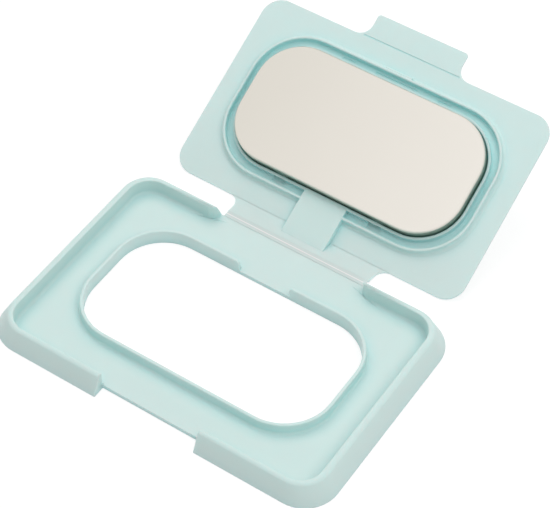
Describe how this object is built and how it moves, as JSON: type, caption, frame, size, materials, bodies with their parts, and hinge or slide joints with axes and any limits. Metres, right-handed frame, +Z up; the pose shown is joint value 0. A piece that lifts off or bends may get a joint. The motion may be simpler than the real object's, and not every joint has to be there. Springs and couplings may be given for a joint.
{
  "type": "flip-top lid for a wipes pack",
  "caption": "Flat plastic frame with a lipped opening and a hinged flip lid; the lid carries a seal ring, a front tab and a satin metal tray that drops into the opening when shut.",
  "frame": {"origin": "middle of the whole part's box in X and Y with the lid at its pictured angle, at the underside of the frame", "axes": "+X along the hinge, +Y from the frame's front gap towards the hinge and the open lid, +Z up"},
  "size_m": [0.11, 0.1422, 0.0322],
  "materials": {
    "mint_plastic": "pale mint moulded plastic, satin, slightly translucent",
    "mint_film": "the same plastic as a thin, paler, translucent web",
    "satin_metal": "satin, pressed from sheet with rounded edges"
  },
  "bodies": {
    "base": {"frame": "mint_plastic", "film_hinge": "mint_film"},
    "lid": {"lid": "mint_plastic", "metal_tray": "satin_metal"}
  },
  "joints": [
    {"name": "lid_hinge", "type": "hinge", "parent": "base", "child": "lid", "pos_m": [0, 0.00277, 0.0013], "axis": [1, 0, 0], "range_deg": [0, 152.5], "deforming": ["film_hinge"]}
  ]
}
